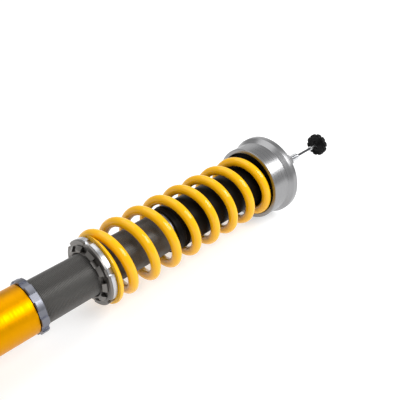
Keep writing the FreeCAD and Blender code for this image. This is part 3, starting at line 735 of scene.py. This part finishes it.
def makeTopSeat():
    drop = spool["hubDrop"]           # the hub starts this far below the seat's near face
    flareTop = drop + spool["cylinder"] + spool["flare"]
    rimTop = flareTop + spool["rimLength"]
    webTop = drop + spool["recessDepth"] + spool["web"]
    turnedPiece("topSeat", "top_seat", "upper_seat", [
        (drop, spool["recess"], 0.5), (drop, spool["radius"], 0.9),
        (drop + spool["cylinder"], spool["radius"], 1.2), (flareTop, spool["rim"], 1.0),
        (rimTop, spool["rim"], 0.9), (rimTop, spool["topRecess"], 0.7),
        (webTop, spool["topRecess"], 1.5), (webTop, spool["topHub"], 1),
        (webTop + spool["topRise"], spool["topHub"], 0.6),
        (webTop + spool["topRise"], spool["bore"], 0.4),
        (spool["pocketDepth"], spool["bore"], 0.3), (spool["pocketDepth"], spool["pocket"], 1),
        (0, spool["pocket"], 0.5), (0, spool["hub"], 0.7),
        (drop + spool["recessDepth"], spool["hub"], 1.2),
        (drop + spool["recessDepth"], spool["recess"], 0.3)], spool["steps"])


boot = {"bore": 26.4, "radius": 29, "ridgeWidth": 3, "ridgeRise": 0.9, "flank": 0.8,
        "ridges": (2, 5)}     # ridges start this many ridge widths from the low end


def makeBoot():
    low, high, _ = span("dust_boot")
    length = (high - low) / mm
    width, radius, flank = boot["ridgeWidth"], boot["radius"], boot["flank"]
    top = radius + boot["ridgeRise"]
    outline = [(0, boot["bore"], 0.5), (0, radius, 1.2)]
    for ridge in boot["ridges"]:
        outline += [(ridge * width + along * width, reach, 0.8) for along, reach in
                    ((0, radius), (flank, top), (2 - flank, top), (2, radius))]
    outline += [(length, radius, 0.5), (length, boot["bore"], 0.5)]
    turnedPiece("dustBoot", "dust_boot", "upper_seat", outline)


gland = {"bore": 11.6, "length": 24, "lip": 4, "outer": 22.44, "lipRadius": 25.5,
         "wiperBore": 13.68, "wiperDepth": 5}
wiper = {"bore": 10.06, "radius": 13.64, "length": 5, "shelf": 12.6, "shelfTop": 4.3,
         "lip": 11.4, "lipRoot": 4.6, "lipTop": 5.8, "steps": 96}


def makeGland():
    bore, outer, length = gland["bore"], gland["outer"], gland["length"]
    lipRadius, wiperBore = gland["lipRadius"], gland["wiperBore"]
    top = length + gland["lip"]
    floor = top - gland["wiperDepth"]
    turnedPiece("rodGland", "rod_gland", "damper", [
        (0, bore, 0.2), (0, outer, 0.6), (length, outer, 0.2), (length, lipRadius, 0.3),
        (top, lipRadius, 0.9), (top, wiperBore, 0.4), (floor, wiperBore, 0.3),
        (floor, bore, 0.3)])
    turnedPiece("wiperSeal", "wiper_seal", "damper", [
        (0, wiper["bore"], 0.2), (0, wiper["radius"], 0.4),
        (wiper["length"], wiper["radius"], 0.5), (wiper["shelfTop"], wiper["shelf"], 0.4),
        (wiper["lipRoot"], wiper["lip"], 0.4), (wiper["lipTop"], wiper["bore"], 0.3)],
        wiper["steps"])


bump = {"bore": 10.3, "radius": 21, "waist": 2.6, "bellies": 3, "bellyRound": 7,
        "waistRound": 2, "steps": 96}


def makeBumpStop():
    # a foam sleeve of round bellies
    low, high, _ = span("bump_stop")
    length = (high - low) / mm
    step = length / (2 * bump["bellies"])
    radius, bellyRound, waistRound = bump["radius"], bump["bellyRound"], bump["waistRound"]
    waistRadius = radius - 2 * bump["waist"]
    outline = [(0, bump["bore"], 0.5), (0, waistRadius, waistRound)]
    for belly in range(bump["bellies"] - 1):
        outline += [((2 * belly + 1) * step, radius - bump["waist"], bellyRound),
                    ((2 * belly + 2) * step, waistRadius, waistRound)]
    outline += [((2 * bump["bellies"] - 1) * step, radius, bellyRound), (length, radius, 1),
                (length, bump["bore"], 0.5)]
    turnedPiece("bumpStop", "bump_stop", "rod", outline, bump["steps"])


flatRings = {     # rounds: of the corners low inside, low outside, high outside, high inside
    "topIsolator": {"node": "top_isolator", "body": "upper_seat", "bore": 30, "radius": 44.9,
                    "thickness": 3.2, "rounds": (0.9, 0.9, 0.9, 0.9), "steps": 160},
    "topSpacer": {"node": "top_spacer", "body": "rod", "bore": 6.92, "radius": 9.5,
                  "rounds": (0.2, 0.5, 0.5, 0.2), "steps": 96},
    "nutWasher": {"node": "nut_washer", "body": "rod", "bore": 5.02, "radius": 11,
                  "thickness": 2, "rounds": (0.1, 0.3, 0.5, 0.2), "steps": 96},
}


def makeFlatRings():
    # isolator in the seat's recess, spacer and washer under the nut
    for name, ring in flatRings.items():
        low, high, _ = span(ring["node"])
        top = ring.get("thickness", (high - low) / mm)
        bore, radius = ring["bore"], ring["radius"]
        corners = ((0, bore), (0, radius), (top, radius), (top, bore))
        outline = [(*corner, rounding) for corner, rounding in zip(corners, ring["rounds"])]
        turnedPiece(name, ring["node"], ring["body"], outline, ring["steps"])


makeHousing()
makeTopSeat()
makeBoot()
makeGland()
makeBumpStop()
makeFlatRings()
print("turned pieces made")


# slotted rings

castle = {
    "bodyLockRing": {"node": "body_lock_ring", "body": "body_lock", "slots": 10, "width": 9,
                     "depth": 2.6, "radius": 31.5, "round": 0.5},
    "perchLockRing": {"node": "perch_lock_ring", "body": "perch_lock", "slots": 10, "width": 9,
                      "depth": 6.1, "radius": 34.7, "round": 0.4},
    "springPerch": {"node": "spring_perch", "body": "perch", "slots": 6, "width": 8.5,
                    "depth": 2.8, "radius": 40.5, "round": 0.35},
    "springSeatRing": {"node": "spring_seat_ring", "body": "spring_seat", "slots": 6,
                       "width": 8.5, "depth": 2.8, "radius": 40.5, "round": 0.35},
}

slotShape = {"columns": 180, "shares": (-1, -0.5, 0, 0.5, 1)}     # shares of half its width


def slottedColumns(look):
    # each column turns a radius into a place in the section; slots have flat floors
    floor, half = look["radius"] - look["depth"], look["width"] / 2
    inner = math.atan2(half, floor)
    outer = math.asin(half / look["radius"])
    shares = slotShape["shares"]
    lands = round(slotShape["columns"] / look["slots"]) - len(shares) - 2
    columns = []

    def slotSide(middle, share, atWall):
        def placeOf(radius):
            if radius <= floor:
                return (middle + share * inner, radius)
            reach = math.sqrt(radius ** 2 - half ** 2) if atWall else floor
            return (middle + math.atan2(share * half, reach), math.hypot(share * half, reach))
        return placeOf

    def plain(angle):
        return lambda radius: (angle, radius)

    for slot in range(look["slots"]):
        middle = math.pi / 2 + 2 * math.pi * slot / look["slots"]
        columns.append(slotSide(middle, -1, True))
        columns += [slotSide(middle, share, False) for share in shares]
        columns.append(slotSide(middle, 1, True))
        land = 2 * math.pi / look["slots"] - 2 * outer
        columns += [plain(middle + outer + land * (index + 1) / (lands + 1))
                    for index in range(lands)]
    return columns


def makeCastle(name, outline):
    look = castle[name]
    low = span(look["node"])[0]
    columns = slottedColumns(look)
    points, faces = [], []
    for along, radius in outline:
        for placeOf in columns:
            angle, reach = placeOf(radius)
            points.append((low + along * mm, reach * mm * math.cos(angle),
                           axisHeight + reach * mm * math.sin(angle)))
    count = len(columns)
    for row in range(len(outline)):
        for column in range(count):
            first = row * count
            second = (row + 1) % len(outline) * count
            after = (column + 1) % count
            faces.append((first + column, first + after, second + after, second + column))
    mesh = bpy.data.meshes.new(name)
    mesh.from_pydata(points, [], faces)
    outward(mesh)
    piece = addPiece(name, mesh, look["body"], slotOf[look["node"]], look["node"])
    soften(piece, look["round"] * mm, 2)


lockRing = {"bore": threadBore, "thickness": 8.7, "edge": 0.8, "chamfer": 2, "boreEdge": 0.3}


def makeBodyLockRing():
    radius, thickness = castle["bodyLockRing"]["radius"], lockRing["thickness"]
    edge, chamfer, boreEdge = lockRing["edge"], lockRing["chamfer"], lockRing["boreEdge"]
    bore = lockRing["bore"]
    makeCastle("bodyLockRing", [
        (0, bore + chamfer), (0, radius - edge), (edge, radius), (thickness - edge, radius),
        (thickness, radius - edge), (thickness, bore + boreEdge), (thickness - boreEdge, bore),
        (chamfer, bore)])


perch = {"bore": threadBore, "shoulder": 36.6, "flange": 2.6, "shoulderTop": 6.6,
         "guide": 31.2, "guideTop": 12, "edge": 0.6, "clear": 0.3, "ringTop": 6.2,
         "ringEdge": 0.8, "lockNose": 31, "lockTop": 4.3, "lockLand": 0.8, "lockChamfer": 2}


def makePerch():
    # the lock ring below, the perch with its guide, and the seat ring that turns on it
    bore, shoulder, guide = perch["bore"], perch["shoulder"], perch["guide"]
    lockTop, chamfer = perch["lockTop"], perch["lockChamfer"]
    lockRadius = castle["perchLockRing"]["radius"]
    makeCastle("perchLockRing", [
        (0, bore + chamfer), (0, perch["lockNose"]), (lockTop - perch["lockLand"], lockRadius),
        (lockTop, lockRadius), (lockTop, bore), (chamfer, bore)])
    flange, edge, radius = perch["flange"], perch["edge"], castle["springPerch"]["radius"]
    shoulderTop, guideTop = perch["shoulderTop"], perch["guideTop"]
    makeCastle("springPerch", [
        (0, bore), (0, radius - edge), (edge, radius), (flange, radius), (flange, shoulder),
        (shoulderTop, shoulder), (shoulderTop, guide), (guideTop - edge, guide),
        (guideTop, guide - edge), (guideTop, bore)])
    web, clear = shoulderTop - flange, perch["clear"]
    ringTop, ringEdge = perch["ringTop"], perch["ringEdge"]
    makeCastle("springSeatRing", [
        (0, shoulder + clear), (0, radius), (ringTop - ringEdge, radius),
        (ringTop, radius - ringEdge), (ringTop, guide + clear), (web, guide + clear),
        (web, shoulder + clear)])


makeBodyLockRing()
makePerch()
print("slotted rings made")


# rod with its threaded stud, nut, knob and grub screw

stud = {"radius": 5, "core": 4.6, "pitch": 1.25, "depth": 0.6, "edge": 0.8, "length": 29.5,
        "washer": 2, "nut": 9, "spigot": 6.9, "spigotLength": 77, "rod": 10, "rodLength": 262,
        "tail": 6, "tailLength": 35, "bore": 1.95, "around": 64, "perPitch": 8}


def makeRod():
    low = span("piston_rod")[0]
    radius, core, edge, bore = stud["radius"], stud["core"], stud["edge"], stud["bore"]
    spigot, rod, tail, tailLength = stud["spigot"], stud["rod"], stud["tail"], stud["tailLength"]
    shoulder = tailLength + stud["rodLength"]
    base = shoulder + stud["spigotLength"]
    neck = base + stud["washer"]
    begin = neck + stud["nut"] + edge
    top = base + stud["length"]
    finish = top - edge
    outline = [(begin, radius), (begin, core), (neck, core), (neck, radius), (base, radius),
               (base, spigot), (shoulder, spigot), (shoulder, rod), (tailLength, rod),
               (tailLength, tail), (0, tail), (0, bore), (top, bore), (top, radius - edge),
               (finish, radius)]
    mesh = threadedMesh("pistonRod", {
        "Low End": low + begin * mm, "Length": (finish - begin) * mm, "Radius": radius * mm,
        "Depth": stud["depth"] * mm, "Pitch": stud["pitch"] * mm, "Runout": stud["pitch"] * mm,
        "Axis Height": axisHeight, "Around": stud["around"], "Per Pitch": stud["perPitch"],
        "Material": finishes["chromed_rod"]},
        [(low + along * mm, reach * mm) for along, reach in outline])
    addPiece("pistonRod", mesh, "rod", "chromed_rod", "piston_rod")


nut = {"flats": 17, "thickness": 9, "bore": 4.62, "chamfer": math.radians(30), "crown": 0.15,
       "lead": 0.6, "steps": 96}


def makeNut():
    # hexagon whose corners are turned off to a shallow cone at both ends
    low = span("top_nut")[0]
    top = low + nut["thickness"] * mm
    apothem = nut["flats"] / 2 * mm
    crown = apothem - nut["crown"] * mm
    bore, lead = nut["bore"] * mm, nut["lead"] * mm

    def side(angle):
        return apothem / math.cos((angle % (math.pi / 3)) - math.pi / 6)

    def drop(angle):
        return (side(angle) - crown) * math.tan(nut["chamfer"])

    mesh = spunMesh("topNut", [
        (low, crown), lambda angle: (low + drop(angle), side(angle)),
        lambda angle: (top - drop(angle), side(angle)), (top, crown), (top, bore + lead),
        (top - lead, bore), (low + lead, bore), (low, bore + lead)], nut["steps"])
    smooth(mesh, angle=25)
    addPiece("topNut", mesh, "rod", slotOf["top_nut"], "top_nut")


knob = {"radius": 16.8, "length": 9, "bore": 1.77, "boreLead": 0.6, "boreFloor": 6.2,
        "hub": 4.05, "hubFoot": 2.6, "dish": 3, "dishRadius": 11, "rimWidth": 2.2,
        "rimLow": 0.8, "wallLow": 1.2, "wallTop": 8.6, "round": 2.5, "crown": 9, "pit": 7.5,
        "pitDepth": 1, "lobes": 10, "scallop": 1.7, "scallopHalf": math.radians(10.5),
        "steps": 200}


def makeKnob():
    # from the bore's mouth over hub, dish and scalloped wall to the shallow pit on top
    low = span("adjuster_knob")[0]
    bore, hub, radius = knob["bore"], knob["hub"], knob["radius"]
    dish, dishRadius, top = knob["dish"], knob["dishRadius"], knob["length"]
    pitFloor = top - knob["pitDepth"]
    outline = rounded(low, [
        (knob["boreLead"], bore, 0), (0, hub, 0.6), (dish, hub + knob["hubFoot"], 1.2),
        (dish, dishRadius, 1.2), (knob["rimLow"], radius - knob["rimWidth"], 1.2),
        (knob["wallLow"], radius, 1.6), (knob["wallTop"], radius, knob["round"]),
        (top, knob["crown"], 2), (pitFloor, knob["pit"], 0.6), (pitFloor, 0, 0)])
    inner, outer = dishRadius * mm, radius * mm

    def lobed(along, radius):
        def level(angle):
            period = 2 * math.pi / knob["lobes"]
            off = abs((angle + period / 2) % period - period / 2) / knob["scallopHalf"]
            cut = 0.5 + 0.5 * math.cos(math.pi * min(off, 1))
            share = min(max((radius - inner) / (outer - inner), 0), 1)
            return along, radius - knob["scallop"] * mm * cut * share
        return level if radius > inner else (along, radius)

    floor = low + knob["boreFloor"] * mm
    levels = [(floor, 0), (floor, bore * mm)] + [lobed(*spot) for spot in outline]
    mesh = spunMesh("adjusterKnob", levels, knob["steps"], closed=False)
    smooth(mesh, angle=40)
    addPiece("adjusterKnob", mesh, "knob", "knob_plastic", "adjuster_knob")


grub = {"radius": 0.88, "point": 0.7, "pointLength": 0.25, "edge": 0.15, "socket": 0.45,
        "socketDepth": 0.7, "steps": 48}


def makeGrubScrew():
    # spun along X at the axis, then stood up where the collar's tapped hole is
    low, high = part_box("knob_grub_screw")
    long = high.z - low.z
    turn = math.pi / 3

    def socket(along):
        return lambda angle: (along, grub["socket"] * mm / math.cos(angle % turn - turn / 2))

    radius, edge, floor = grub["radius"] * mm, grub["edge"] * mm, long - grub["socketDepth"] * mm
    mesh = spunMesh("knobGrubScrew", [
        (0, 0), (0, radius * grub["point"]), (grub["pointLength"] * mm, radius),
        (long - edge, radius), (long, radius - edge), socket(long), socket(floor),
        (floor, 0)], grub["steps"], closed=False)
    place = Matrix.Translation(((low.x + high.x) / 2, 0, low.z))
    stand = Matrix.Rotation(-math.pi / 2, 4, "Y")
    mesh.transform(place @ stand @ Matrix.Translation((0, 0, -axisHeight)))
    smooth(mesh, angle=30)
    addPiece("knobGrubScrew", mesh, "knob", "dark_steel", "knob_grub_screw")


makeRod()
makeNut()
makeKnob()
makeGrubScrew()
print("rod, nut and knob made")


# bracket: the built shape with its sheared edges rounded off

bracket = {"edge": 0.9, "segments": 3, "flatWithin": math.radians(0.5)}


def makeBracket():
    work = bmesh.new()
    work.from_mesh(nodes["knuckle_bracket"].data)
    bmesh.ops.remove_doubles(work, verts=work.verts, dist=1e-6)
    bmesh.ops.dissolve_limit(work, angle_limit=bracket["flatWithin"], verts=work.verts,
                             edges=work.edges)
    mesh = bpy.data.meshes.new("knuckleBracket")
    work.to_mesh(mesh)
    work.free()
    outward(mesh)
    piece = addPiece("knuckleBracket", mesh, "housing", "bracket_coat", "knuckle_bracket")
    soften(piece, bracket["edge"] * mm, bracket["segments"])


makeBracket()
print("bracket made")
